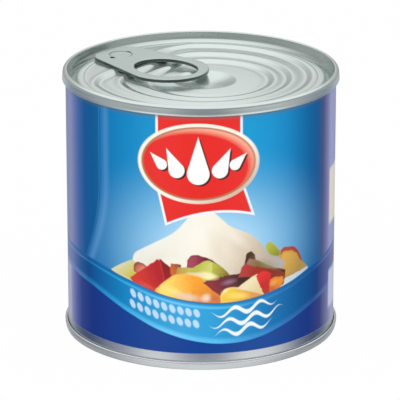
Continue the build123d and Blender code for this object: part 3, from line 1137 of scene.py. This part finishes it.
    def banner(self, below: Socket) -> Socket:
        """The red banner with its white border, from the top seam to its arched foot.

        Args:
            below: The colour so far.

        Returns:
            The colour with the banner on it.
        """
        upper = self.outline(BANNER_UPPER, 0.01, False)
        tail = self.outline(BANNER_TAIL, 0.01, False)
        shape = self.add("Math", upper, tail, operation="MINIMUM")
        from_crown = self.add("Math", self.across, ARCH_MIDDLE, operation="SUBTRACT")
        square = self.add("Math", from_crown, from_crown, operation="MULTIPLY")
        arch = self.add("Math", square, ARCH_BEND, ARCH_HEIGHT, operation="MULTIPLY_ADD")
        shape = self.add(
            "Math",
            shape,
            self.add("Math", arch, self.height, operation="SUBTRACT"),
            operation="MAXIMUM",
        )
        colour = self.over(below, "#F4F6FB", self.inside(shape, grow=BANNER_BORDER))
        return self.over(colour, BANNER_RED, self.inside(shape))

    def badge(self, below: Socket) -> Socket:
        """The oval badge: shaded white ring, gold line, glowing red field and five milk drops.

        Args:
            below: The colour so far.

        Returns:
            The colour with the badge on it.
        """
        oval = self.ellipse(BADGE_MIDDLE, BADGE_RING)
        colour = self.over(below, "#FDF3E4", self.inside(oval, 0.03))
        turned = self.add(
            "Math",
            self.along((0.04, -0.06, 3.54)),
            1.2,
            -0.3,
            operation="MULTIPLY_ADD", use_clamp=True,
        )
        turned = self.add("Math", turned, self.inside(oval, 0.03), operation="MULTIPLY")
        colour = self.over(colour, "#C39A7C", self.add("Math", turned, 0.85, operation="MULTIPLY"))
        colour = self.over(colour, "#A98056", self.inside(self.ellipse(BADGE_MIDDLE, BADGE_LINE), 0.03))
        inner = self.inside(self.ellipse(BADGE_MIDDLE, BADGE_FIELD), 0.05)
        colour = self.over(colour, BANNER_RED, inner)
        glow = self.add(
            "Math",
            self.ellipse(BADGE_GLOW.centre, BADGE_GLOW.radii),
            5.5,
            0.1,
            operation="MULTIPLY_ADD", use_clamp=True,
        )
        glow = self.add("Math", glow, inner, operation="MULTIPLY")
        colour = self.over(
            colour,
            BADGE_GLOW.colour,
            self.add("Math", glow, BADGE_GLOW.strength, operation="MULTIPLY"),
        )
        return self.drop_emblem(colour)

    def drop_emblem(self, below: Socket) -> Socket:
        """A splash of five plain milk drops, fanned out evenly, each with a dark printed shadow.

        Args:
            below: The colour so far.

        Returns:
            The colour with the emblem on it.
        """
        colour = below
        for shift, sink, ink in DROP_PRINTS:
            for x, y, size, length, lean in DROPS:
                mask = self.inside(self.drop((x + shift, y + sink), size, length, lean), 0.25)
                colour = self.over(colour, ink, mask)
        return colour

    def drop(self, centre: Point, size: float, length: float, lean_deg: float) -> Socket:
        """Distance outside a drop whose tip leans to the right.

        Args:
            centre: Middle of its round end.
            size: Radius of its round end.
            length: From that middle to the tip.
            lean_deg: How far the tip leans from upright.

        Returns:
            The distance socket, in mm.
        """
        lean = math.radians(90.0 - lean_deg)
        spread = math.acos(size / length)
        tip = (centre[0] + length * math.cos(lean), centre[1] + length * math.sin(lean))
        right = (centre[0] + size * math.cos(lean - spread), centre[1] + size * math.sin(lean - spread))
        left = (centre[0] + size * math.cos(lean + spread), centre[1] + size * math.sin(lean + spread))
        point = self.outline((right, tip, left), 0.1, False)
        bulb = self.add("Math", self.ellipse(centre, (size, size)), size, operation="MULTIPLY")
        return self.add("Math", bulb, point, operation="MINIMUM")

    def seam_painted_shadow(self, below: Socket, top: float) -> Socket:
        """Painted shadow under the top seam: the print is darkened towards grey over its last two
        millimetres.

        Args:
            below: The colour so far.
            top: Height of the print's upper edge in mm.

        Returns:
            The colour with the fade on it.
        """
        near = self.add(
            "Math",
            self.add("Math", self.height, top, operation="SUBTRACT"),
            0.6,
            1.2,
            operation="MULTIPLY_ADD", use_clamp=True,
        )
        # Dark grey laid over the print: painted shadow, strongest at its top edge under the seam.
        return self.over(
            below,
            "#6B777B",
            self.add(
                "Math",
                self.add("Math", near, near, operation="MULTIPLY"),
                0.7,
                operation="MULTIPLY",
            ),
        )

    def bare_metal(self, foot: float, top: float, weld_place: float) -> Socket:
        """Where the wall is left unprinted: under the print, above it and at the welded side seam.

        Args:
            foot: Height of the print's lower edge in mm.
            top: Height of its upper edge in mm.
            weld_place: Where the welded seam runs, in mm round the wall from the front.

        Returns:
            The mask socket, 1 on bare metal.
        """
        low = self.add(
            "Math",
            self.add("Math", foot, self.height, operation="SUBTRACT"),
            5.0,
            0.5,
            operation="MULTIPLY_ADD", use_clamp=True,
        )
        high = self.add(
            "Math",
            self.add("Math", self.height, top, operation="SUBTRACT"),
            5.0,
            0.5,
            operation="MULTIPLY_ADD", use_clamp=True,
        )
        from_weld = self.add(
            "Math",
            self.add("Math", self.round_wall, weld_place, operation="SUBTRACT"),
            operation="ABSOLUTE",
        )
        weld = self.add("Math", from_weld, -5.0, 8.0, operation="MULTIPLY_ADD", use_clamp=True)
        return self.add(
            "Math",
            self.add("Math", low, high, operation="MAXIMUM"),
            weld,
            operation="MAXIMUM",
        )


# ---------------------------------------------------------------- the can's parts


@dataclass
class PrintedWall:
    """The printed wall, with the flare that swells into the bottom seam. Sizes in mm."""

    radius: float = 37.2
    flare_radius: float = 37.3
    flare_foot: float = 2.4
    flare_top: float = 5.6
    foot: float = WALL_LOW.z / MM
    top: float = WALL_HIGH.z / MM
    inner_foot: float = 8.0
    inner_top: float = 64.0
    facets: int = 256
    finish: PrintedTinplate = field(default_factory=PrintedTinplate)

    def build(self) -> Piece:
        """Turns the wall, maps it and dresses it.

        Returns:
            The finished piece.
        """
        section = [(0.0, self.inner_foot), (36.6, self.inner_foot), (36.9, self.foot)]
        section += [(self.flare_radius, self.foot), (self.flare_radius, self.flare_foot)]
        for i in range(1, 9):
            share = i / 8
            ease = share * share * (3 - 2 * share)
            section.append((
                self.flare_radius + (self.radius - self.flare_radius) * ease,
                self.flare_foot + (self.flare_top - self.flare_foot) * share,
            ))
        section += [(self.radius, 30.0), (self.radius, 55.0), (self.radius, self.top - 0.02)]
        section += [(36.95, self.top), (36.8, self.inner_top), (0.0, self.inner_top)]
        wall = lathe("printed_wall", section, self.facets)
        finish_mesh(wall, 35.0)
        self.map_label(wall)
        wall.data.materials.append(self.finish.material())
        settle(wall, Part.WALL)
        return wall

    def map_label(self, wall: Piece) -> None:
        """Gives the wall its map in mm and a second map that packs it for baking, in two rows.

        Args:
            wall: The turned wall.
        """
        off_label, row, second_row, margin = (0.0, -20.0), 0.495, 0.503, 0.002
        inner_place, inner_scale = (0.9, 0.5), 900.0
        label = wall.data.uv_layers.new(name="LabelMM")
        packed = wall.data.uv_layers.new(name="OFBake")
        half = math.pi * self.radius / 2
        scale = row / self.top
        for face in wall.data.polygons:
            centre = face.center / MM
            face_angle = math.atan2(centre.x, -centre.y)
            front = abs(face_angle) < math.pi / 2
            outside = math.hypot(centre.x, centre.y) > self.radius - 0.4 and abs(face.normal.z) < 0.9
            for loop_index in face.loop_indices:
                spot = wall.data.vertices[wall.data.loops[loop_index].vertex_index].co / MM
                if not outside:
                    label.data[loop_index].uv = off_label
                    packed.data[loop_index].uv = (
                        inner_place[0] + spot.x / inner_scale,
                        inner_place[1] + spot.y / inner_scale,
                    )
                    continue
                angle = math.atan2(spot.x, -spot.y)
                angle += math.tau * round((face_angle - angle) / math.tau)
                place = angle * self.radius
                label.data[loop_index].uv = (place, spot.z)
                turned = place if front else place - math.copysign(2 * half, face_angle)
                u = margin + (turned + half) * scale
                packed.data[loop_index].uv = (u, spot.z * scale + (0.0 if front else second_row))


@dataclass
class EasyOpenLid:
    """The seamed lid: rim, chuck wall, groove, scored panel, stepped D shapes and well. Sizes in mm.

    Each step is a radius, its centre and how far along the axis its straight side lies.
    """

    seam_foot: float = HEIGHT - 2.8
    panel: float = HEIGHT - 2.4
    flat_edge: float = 33.2
    score: Point = (32.3, 0.05)
    score_reach: float = 0.35
    dome: float = 0.5
    dome_radius: float = 31.0
    step: float = 0.45
    ramp: float = 2.2
    ridge: float = 0.07
    ridge_reach: float = 1.9
    ridge_outside: float = 2.0
    trough_inside: float = 0.9
    ramp_start: float = 0.75
    step_axis_deg: float = 146.9
    corner: float = 3.0
    steps: tuple[tuple[float, float, float, float], ...] = (
        (29.3, 0.0, 0.5, 21.4), (22.6, 1.1, -0.5, 16.8), (17.0, 1.8, -1.0, 12.5),
    )
    well_centre: Point = (1.0, -1.3)
    well_radius: float = 8.9
    well_depth: float = 1.75
    well_bowl: float = 1.3
    rivet_centre: Point = (-22.4, 17.2)
    facets: int = 256
    tin: SatinTinplate = SatinTinplate("pressed_tinplate_lid")
    rivet_tin: SatinTinplate = SatinTinplate("coined_tinplate_rivet", colour="#BECCC7", roughness=0.24)

    def build(self) -> list[Piece]:
        """Makes the lid and its rivet head and dresses them.

        Returns:
            The finished pieces.
        """
        lid = lathe("easy_open_lid", self.section(), self.facets)
        self.press_panel(lid)
        finish_mesh(lid, 40.0, weighted=False)
        lid.data.materials.append(self.tin.material())
        settle(lid, Part.LID)
        rivet = self.rivet_head()
        rivet.data.materials.append(self.rivet_tin.material())
        settle(rivet, Part.LID)
        return [lid, rivet]

    def section(self) -> list[Point]:
        """The double seam, chuck wall, countersink groove and the panel, flat as yet."""
        top, foot = HEIGHT, self.seam_foot
        section = [(36.9, foot + 0.3), (37.25, foot), (37.7, foot)]
        section += arc((SEAM_RADIUS - 0.28, foot + 0.28), 0.28, -90, 0, 5)[1:]
        section += [(SEAM_RADIUS - 0.03, foot + 0.7), (SEAM_RADIUS - 0.09, foot + 1.3)]
        section += arc((37.06, top - 0.92), 0.92, 0, 90, 10)
        section += arc((37.0, top - 0.32), 0.32, 90, 180, 5)
        chuck_wall = ((36.68, 1.3), (36.55, 2.05), (36.45, 2.3), (36.1, 2.9), (35.75, 3.5))
        section += [(radius, top - drop) for radius, drop in chuck_wall]
        section += arc((35.2, top - 3.95), 0.55, 0, -180, 10)
        section += [(34.6, top - 3.3)]
        section += arc((33.7, self.panel - 0.5), 0.5, 0, 90, 6)
        fine = [self.flat_edge - 0.12 * i for i in range(13)]
        coarse = [fine[-1] * (1 - i / 96) for i in range(1, 97)]
        return section + [(radius, self.panel) for radius in fine + coarse[:-1] + [0.0]]

    def press_panel(self, lid: Piece) -> None:
        """Presses the steps, their soft ridges, the score and the well into the flat panel.

        Args:
            lid: The turned lid.
        """
        for vertex in lid.data.vertices:
            x, y = vertex.co.x / MM, vertex.co.y / MM
            if math.hypot(x, y) < self.flat_edge - 0.01:
                vertex.co.z += self.relief(x, y) * MM

    def relief(self, x: float, y: float) -> float:
        """How far the pressed panel stands above its edge, in mm.

        Args:
            x: Place across the can in mm.
            y: Place towards its back in mm.

        Returns:
            The height in mm, negative where it is sunk.
        """
        radius = math.hypot(x, y)
        height = self.dome * max(0.0, 1 - (radius / self.dome_radius) ** 2)
        height -= self.score[1] * self.swell(radius - self.score[0], self.score_reach)
        for index in range(len(self.steps)):
            inside = self.inside_step(index, x, y)
            share = min(max(inside / self.ramp + self.ramp_start, 0.0), 1.0)
            height -= self.step * share * share * (3 - 2 * share)
            height += self.ridge * self.swell(inside + self.ridge_outside, self.ridge_reach)
            height -= self.ridge * self.swell(inside - self.trough_inside, self.ridge_reach)
        from_well = math.hypot(x - self.well_centre[0], y - self.well_centre[1]) / self.well_radius
        if from_well < 1.0:
            height -= self.well_depth * (1 - from_well**2) ** self.well_bowl
        return height

    def swell(self, offset: float, reach: float) -> float:
        """A smooth bump of height 1 that ends at its reach on both sides."""
        return 0.5 + 0.5 * math.cos(math.pi * offset / reach) if abs(offset) < reach else 0.0

    def inside_step(self, index: int, x: float, y: float) -> float:
        """Distance inside a round outline with one side cut straight and its corners rounded.

        Args:
            index: Which step, counted from the rim.
            x: Place across the can in mm.
            y: Place towards its back in mm.

        Returns:
            The distance in mm, negative outside.
        """
        radius, centre_x, centre_y, chord = self.steps[index]
        axis = math.radians(self.step_axis_deg)
        past_round = math.hypot(x - centre_x, y - centre_y) - radius + self.corner
        past_chord = x * math.cos(axis) + y * math.sin(axis) - chord + self.corner
        if past_round > 0.0 and past_chord > 0.0:
            return self.corner - math.hypot(past_round, past_chord)
        return self.corner - max(past_round, past_chord)

    def rivet_head(self) -> Piece:
        """The low, flat button that holds the tab, drawn up from the panel and coined down."""
        seat = TAB_HIGH.z / MM - 0.16
        section = [(2.05, self.panel - 0.3), (2.05, seat), (3.1, seat)]
        section += arc((3.0, seat + 0.05), 0.1, 0, 80, 3)
        section += [(2.8, seat + 0.15), (1.2, seat + 0.13), (0.0, seat + 0.12)]
        rivet = lathe("rivet_head", section, 64, self.rivet_centre)
        finish_mesh(rivet, 50.0, weighted=False)
        return rivet


@dataclass
class PullTab:
    """The ring-pull tab, rolled at both edges, that narrows to a nose on the rivet. Sizes in mm."""

    ring_centre: Point = (-9.0, 3.5)
    axis_deg: float = 132.0
    ring_radius: float = 11.25
    nose_reach: float = 20.1
    nose_spread: float = 3.7
    nose_radius: float = 4.5
    hole_shift: float = 0.9
    hole_length: float = 19.4
    hole_width: float = 16.0
    rivet_centre: Point = EasyOpenLid.rivet_centre
    island_radius: float = 3.35
    island_depth: float = 0.2
    pits: tuple[Point, ...] = ((-24.6, 13.9), (-20.5, 19.6))
    hole_radius: float = 2.2
    pit_radius: float = 0.75
    roll: float = 0.27
    tin: SatinTinplate = SatinTinplate(
        "rolled_tinplate_tab",
        colour="#BECCC7",
        roughness=0.24,
        # Painted shade on the tab's rolled edges and hole walls, below its top face.
        hem_shade_band=(TAB_LOW.z / MM + 0.1, TAB_HIGH.z / MM - 0.2),
    )

    def build(self) -> Piece:
        """Draws the tab's outline, rounds it into sheet with rolled edges, and sinks its nose.

        Returns:
            The finished piece.
        """
        tab = self.rolled_sheet()
        self.sink_island(tab)
        finish_mesh(tab, 35.0)
        tab.data.materials.append(self.tin.material())
        settle(tab, Part.TAB)
        return tab

    def outline(self) -> list[Point]:
        """The tab's outer edge, anticlockwise, along its own axis: ring, sides and blunt nose."""
        reach, spread = self.nose_reach, self.nose_spread
        between = math.hypot(reach, spread)
        lean = math.degrees(math.asin((self.ring_radius - self.nose_radius) / between))
        taper = 90.0 - lean + math.degrees(math.atan2(spread, reach))
        points = arc((0.0, 0.0), self.ring_radius, taper, 360.0 - taper, 72)
        points += arc((reach, -spread), self.nose_radius, -taper, 0.0, 14)
        points += arc((reach, spread), self.nose_radius, 0.0, taper, 14)
        return points

    def rolled_sheet(self) -> Piece:
        """The flat tab with its hole, as a filled curve with round edges, made a mesh in place."""
        thickness = (TAB_HIGH.z - TAB_LOW.z) / MM
        curve = bpy.data.curves.new("pull_tab_outline", "CURVE")
        curve.dimensions = "2D"
        curve.fill_mode = "BOTH"
        curve.extrude = (thickness / 2 - self.roll) * MM
        curve.bevel_depth = self.roll * MM
        curve.bevel_resolution = 4
        curve.offset = -self.roll * MM
        hole = [
            (self.hole_shift + self.hole_length / 2 * c, self.hole_width / 2 * s)
            for c, s in arc((0.0, 0.0), 1.0, 360.0, 5.0, 71)
        ]
        for loop in (self.outline(), hole):
            spline = curve.splines.new("POLY")
            spline.points.add(len(loop) - 1)
            for point, (x, y) in zip(spline.points, loop):
                point.co = (x * MM, y * MM, 0.0, 1.0)
            spline.use_cyclic_u = True
        tab = bpy.data.objects.new("pull_tab_ring", curve)
        bpy.context.scene.collection.objects.link(tab)
        make_active(tab)
        bpy.ops.object.convert(target="MESH")
        tab.rotation_euler = (0.0, 0.0, math.radians(self.axis_deg))
        tab.location = (
            self.ring_centre[0] * MM,
            self.ring_centre[1] * MM,
            (TAB_LOW.z + TAB_HIGH.z) / 2,
        )
        bpy.ops.object.transform_apply(location=True, rotation=True, scale=True)
        return tab

    def sink_island(self, tab: Piece) -> None:
        """Sinks the round seat of the rivet, cuts the hole that it fills and pierces two small pits.

        Args:
            tab: The rolled tab.
        """
        through, height = TAB_LOW.z / MM - 1.0, 6.0
        cuts = [
            (self.island_radius, self.rivet_centre, TAB_HIGH.z / MM - self.island_depth, 96),
            (self.hole_radius, self.rivet_centre, through, 48),
        ]
        cuts += [(self.pit_radius, pit, through, 24) for pit in self.pits]
        for radius, (x, y), foot, facets in cuts:
            clear_selection()
            bpy.ops.mesh.primitive_cylinder_add(
                vertices=facets,
                radius=radius * MM,
                depth=height * MM,
                location=(x * MM, y * MM, (foot + height / 2) * MM),
            )
            cutter = bpy.context.active_object
            make_active(tab)
            modifier = tab.modifiers.new("cut", "BOOLEAN")
            modifier.operation = "DIFFERENCE"
            modifier.solver = "EXACT"
            modifier.object = cutter
            bpy.ops.object.modifier_apply(modifier=modifier.name)
            bpy.data.objects.remove(cutter)


@dataclass
class BaseEnd:
    """The bottom seam, chuck wall, groove and the plain beaded base panel. Sizes in mm."""

    seam_top: float = 2.3
    panel: float = 3.2
    groove: float = 4.4
    panel_edge: float = 33.4
    bead: float = 25.0
    bead_height: float = 0.5
    bead_half_width: float = 2.0
    facets: int = 256
    tin: SatinTinplate = SatinTinplate("pressed_tinplate_base", colour="#D8DCDE", roughness=0.22)

    def build(self) -> Piece:
        """Turns the base end and dresses it.

        Returns:
            The finished piece.
        """
        half = self.bead_half_width
        section = [(0.0, self.panel), (10.0, self.panel), (self.bead - half, self.panel)]
        for i in range(1, 8):
            lift = self.bead_height * math.sin(math.pi * i / 8) ** 2
            section.append((self.bead - half + 2 * half * i / 8, self.panel + lift))
        section += [(self.bead + half, self.panel), (self.panel_edge - 0.4, self.panel)]
        section += arc((self.panel_edge - 0.1, self.panel + 0.5), 0.5, -90, -10, 5)
        section += arc((self.panel_edge + 1.2, self.groove - 0.6), 0.6, 180, 0, 8)
        section += arc((36.9, 0.5), 0.5, 180, 270, 5)
        section += [(37.2, 0.0), (37.4, 0.0)]
        section += arc((37.4, 0.5), 0.5, -90, -12, 6)[1:]
        section += [(38.0, 1.05), (38.07, 1.4)]
        section += arc((SEAM_RADIUS - 0.42, self.seam_top - 0.42), 0.42, 0, 120, 8)
        section += [(37.32, self.seam_top - 0.26), (36.9, self.seam_top - 0.5)]
        base = lathe("base_end_seam", section, self.facets)
        finish_mesh(base, 40.0)
        base.data.materials.append(self.tin.material())
        settle(base, Part.BASE)
        return base


# ---------------------------------------------------------------- the studio


@dataclass
class Studio:
    """White floor and surround, soft light from above and a long lens in front. Sizes in mm."""

    distance: float = 900.0
    elevation_deg: float = 18.48
    lens: float = 291.2
    aim_right: float = -0.23
    aim_up: float = -1.22
    around: tuple[Point, ...] = (
        (0.0, 0.33), (0.072, 0.36), (0.098, 0.28), (0.123, 0.15), (0.149, 0.09), (0.175, 0.055), (0.2, 0.055),
        (0.226, 0.1), (0.26, 0.2), (0.295, 0.3), (0.329, 0.44), (0.363, 0.7), (0.389, 0.79), (0.423, 0.75),
        (0.457, 0.5), (0.5, 0.31), (0.543, 0.38), (0.577, 0.64), (0.611, 0.84), (0.637, 0.82), (0.671, 0.74),
        (0.714, 0.46), (0.757, 0.18), (0.808, 0.06), (0.842, 0.09), (0.868, 0.18), (0.911, 0.34), (1.0, 0.33),
    )
    ahead: tuple[Point, ...] = (
        (0.42, 0.28), (0.52, 0.26), (0.58, 0.16), (0.69, 0.3), (0.75, 0.56), (0.82, 0.78), (1.0, 0.72),
    )
    behind: tuple[Point, ...] = (
        (0.42, 0.22), (0.54, 0.2), (0.6, 0.42), (0.658, 0.72), (0.74, 0.73), (0.8, 0.78), (0.86, 0.98),
        (1.0, 0.8),
    )
    behind_edge: tuple[Point, ...] = (
        (0.42, 0.26), (0.6, 0.3), (0.658, 0.35), (0.7, 0.4), (0.76, 0.62), (0.8, 0.76), (0.86, 0.78),
        (1.0, 0.45),
    )
    below: tuple[Point, ...] = (
        (0.0, 0.3), (0.25, 0.3), (0.36, 0.55), (0.5, 0.62), (0.64, 0.55), (0.75, 0.3), (1.0, 0.3),
    )
    night: tuple[float, float, float] = (0.0, 0.03, 0.12)
    dusk: float = 0.74
    black: Colour = (0.0, 0.0, 0.0, 1.0)
    fill_tone: Colour = (0.6, 0.6, 0.607, 1.0)
    backdrop_tone: Colour = (0.715, 0.715, 0.715, 1.0)
    strength: float = 1.4
    floor_glow: float = 0.975
    lamps: tuple[tuple[str, tuple[float, float, float], float, float], ...] = (
        ("key_softbox", (-260.0, -420.0, 520.0), 420.0, 1.0),
        ("fill_softbox", (420.0, -360.0, 300.0), 420.0, 0.4),
    )

    def build(self) -> None:
        """Sets the camera, the lamps, the floor and the surround."""
        self.camera()
        self.surround()
        self.floor()
        for lamp in self.lamps:
            self.lamp(*lamp)
        bpy.context.scene.view_settings.view_transform = "Standard"

    def camera(self) -> None:
        """Places the camera on the can's front, looking a little down at its middle."""
        tilt = math.radians(self.elevation_deg)
        forward = Vector((0.0, math.cos(tilt), -math.sin(tilt)))
        up = Vector((0.0, math.sin(tilt), math.cos(tilt)))
        target = Vector((self.aim_right, 0.0, HEIGHT / 2)) + up * self.aim_up
        data = bpy.data.cameras.new("long_lens")
        data.lens = self.lens
        data.sensor_width = 36.0
        data.clip_start = 0.05
        camera = bpy.data.objects.new("long_lens", data)
        camera.location = (target - forward * self.distance) * MM
        camera.rotation_euler = (math.radians(90.0) - tilt, 0.0, 0.0)
        bpy.context.scene.collection.objects.link(camera)
        bpy.context.scene.camera = camera

    def lamp(self, name: str, place: tuple[float, float, float], size: float, power: float) -> None:
        """Hangs one square softbox that faces the lid.

        Args:
            name: The lamp's name.
            place: Where it hangs, in mm.
            size: Its side in mm.
            power: Its power in watts.
        """
        data = bpy.data.lights.new(name, "AREA")
        data.size = size * MM
        data.energy = power
        lamp = bpy.data.objects.new(name, data)
        lamp.visible_glossy = False
        lamp.location = Vector(place) * MM
        facing = Vector((0.0, 0.0, HEIGHT * 0.6)) - Vector(place)
        lamp.rotation_euler = facing.to_track_quat("-Z", "Y").to_euler()
        bpy.context.scene.collection.objects.link(lamp)

    def surround(self) -> None:
        """An even pale surround, which metal and lacquer see as bright sheets with grey between them.

        Metal sees the floor's tones lowest, then the sheets round the can, then what is overhead.
        """
        world = bpy.data.worlds.new("white_studio")
        bpy.context.scene.world = world
        world.use_nodes = True
        tree = world.node_tree
        tree.nodes.clear()
        way = add_node(tree, "TexCoord")
        x, y, z = add_node(tree, "SeparateXYZ", {0: way.outputs["Generated"]}).outputs
        front = add_node(tree, "Math", {0: y, 1: -1.0}, operation="MULTIPLY").outputs[0]
        turn = add_node(tree, "Math", {0: x, 1: front}, operation="ARCTAN2").outputs[0]
        round_way = {0: turn, 1: 1 / math.tau, 2: 0.5}
        share = add_node(tree, "Math", round_way, operation="MULTIPLY_ADD").outputs[0]
        rise = add_node(tree, "Math", {0: z, 1: 0.5, 2: 0.5}, operation="MULTIPLY_ADD").outputs[0]
        mirror = self.tones(tree, share, self.below)
        sheets = self.tones(tree, share, self.around, self.night)
        mirror = self.blend(tree, z, (-0.46, -0.38), mirror, sheets)
        aside = add_node(tree, "Math", {0: x}, operation="ABSOLUTE").outputs[0]
        backdrop = self.tones(tree, rise, self.behind)
        edges = self.blend(tree, aside, (0.0, 0.12), backdrop, self.tones(tree, rise, self.behind_edge))
        over = self.blend(tree, y, (0.5, 0.9), self.tones(tree, rise, self.ahead), edges)
        dimming = {"Factor": self.dusk, UNDER: sheets, OVER: self.black}
        dim = add_node(tree, "Mix", dimming, data_type="RGBA").outputs[MIXED]
        low = self.blend(tree, y, (-0.75, -0.35), dim, over)
        over = self.blend(tree, z, (0.0, 0.15), low, over)
        mirror = self.blend(tree, z, (-0.24, -0.16), mirror, over)
        rays = add_node(tree, "LightPath")
        seen = self.fill_tone
        for ray, tone in (("Is Glossy Ray", mirror), ("Is Camera Ray", self.backdrop_tone)):
            links = {"Factor": rays.outputs[ray], UNDER: seen, OVER: tone}
            seen = add_node(tree, "Mix", links, data_type="RGBA").outputs[MIXED]
        light = add_node(tree, "Background", {"Color": seen, "Strength": self.strength})
        add_node(tree, "OutputWorld", {"Surface": light.outputs[0]})

    def blend(self, tree: Tree, value: Socket, span: Point, before: Socket, after: Socket) -> Socket:
        """Goes softly from one colour to another over a span of a value.

        Args:
            tree: The world's node tree.
            value: The value.
            span: Where the change starts and ends.
            before: The colour below the span.
            after: The colour above it.

        Returns:
            The colour socket.
        """
        limits = {"Value": value, "From Min": span[0], "From Max": span[1]}
        share = add_node(tree, "MapRange", limits, interpolation_type="SMOOTHSTEP").outputs[0]
        links = {"Factor": share, UNDER: before, OVER: after}
        return add_node(tree, "Mix", links, data_type="RGBA").outputs[MIXED]

    def tones(
        self,
        tree: Tree,
        value: Socket,
        stops: tuple[Point, ...],
        dark: tuple[float, float, float] = (0.0, 0.0, 0.0),
    ) -> Socket:
        """Tones from dark to white along a value.

        Args:
            tree: The world's node tree.
            value: The value, 0 to 1.
            stops: Position and level of each stop, in order.
            dark: The colour of level 0.

        Returns:
            The colour socket.
        """
        levels = [
            (position, (*(level + (1.0 - level) * tone for tone in dark), 1.0)) for position, level in stops
        ]
        return colour_by(tree, value, levels)

    def floor(self) -> None:
        """A white floor that takes a faint shadow; metal sees the studio's sheets in its place."""
        clear_selection()
        bpy.ops.mesh.primitive_plane_add(size=6.0, location=(0.0, 0.0, 0.0))
        floor = bpy.context.active_object
        floor.name = "white_floor"
        material, tree = start_material("white_paper_floor")
        paper = add_node(tree, "BsdfDiffuse", {"Color": (0.92, 0.92, 0.92, 1.0)}).outputs[0]
        glow = add_node(tree, "Emission", {"Color": (1.0, 1.0, 1.0, 1.0), "Strength": 1.0}).outputs[0]
        clear = add_node(tree, "BsdfTransparent").outputs[0]
        rays = add_node(tree, "LightPath").outputs
        share = add_node(tree, "Math", {0: rays["Is Camera Ray"], 1: self.floor_glow}, operation="MULTIPLY")
        seen = add_node(tree, "MixShader", {0: share.outputs[0], 1: paper, 2: glow}).outputs[0]
        mix = add_node(tree, "MixShader", {0: rays["Is Glossy Ray"], 1: seen, 2: clear})
        add_node(tree, "OutputMaterial", {"Surface": mix.outputs[0]})
        floor.data.materials.append(material)


def main() -> None:
    """Builds the can part by part, then the studio."""
    logging.basicConfig(level=logging.INFO, format="%(name)s: %(message)s")
    PrintedWall().build()
    EasyOpenLid().build()
    PullTab().build()
    BaseEnd().build()
    Studio().build()


if __name__ == "__main__":
    main()
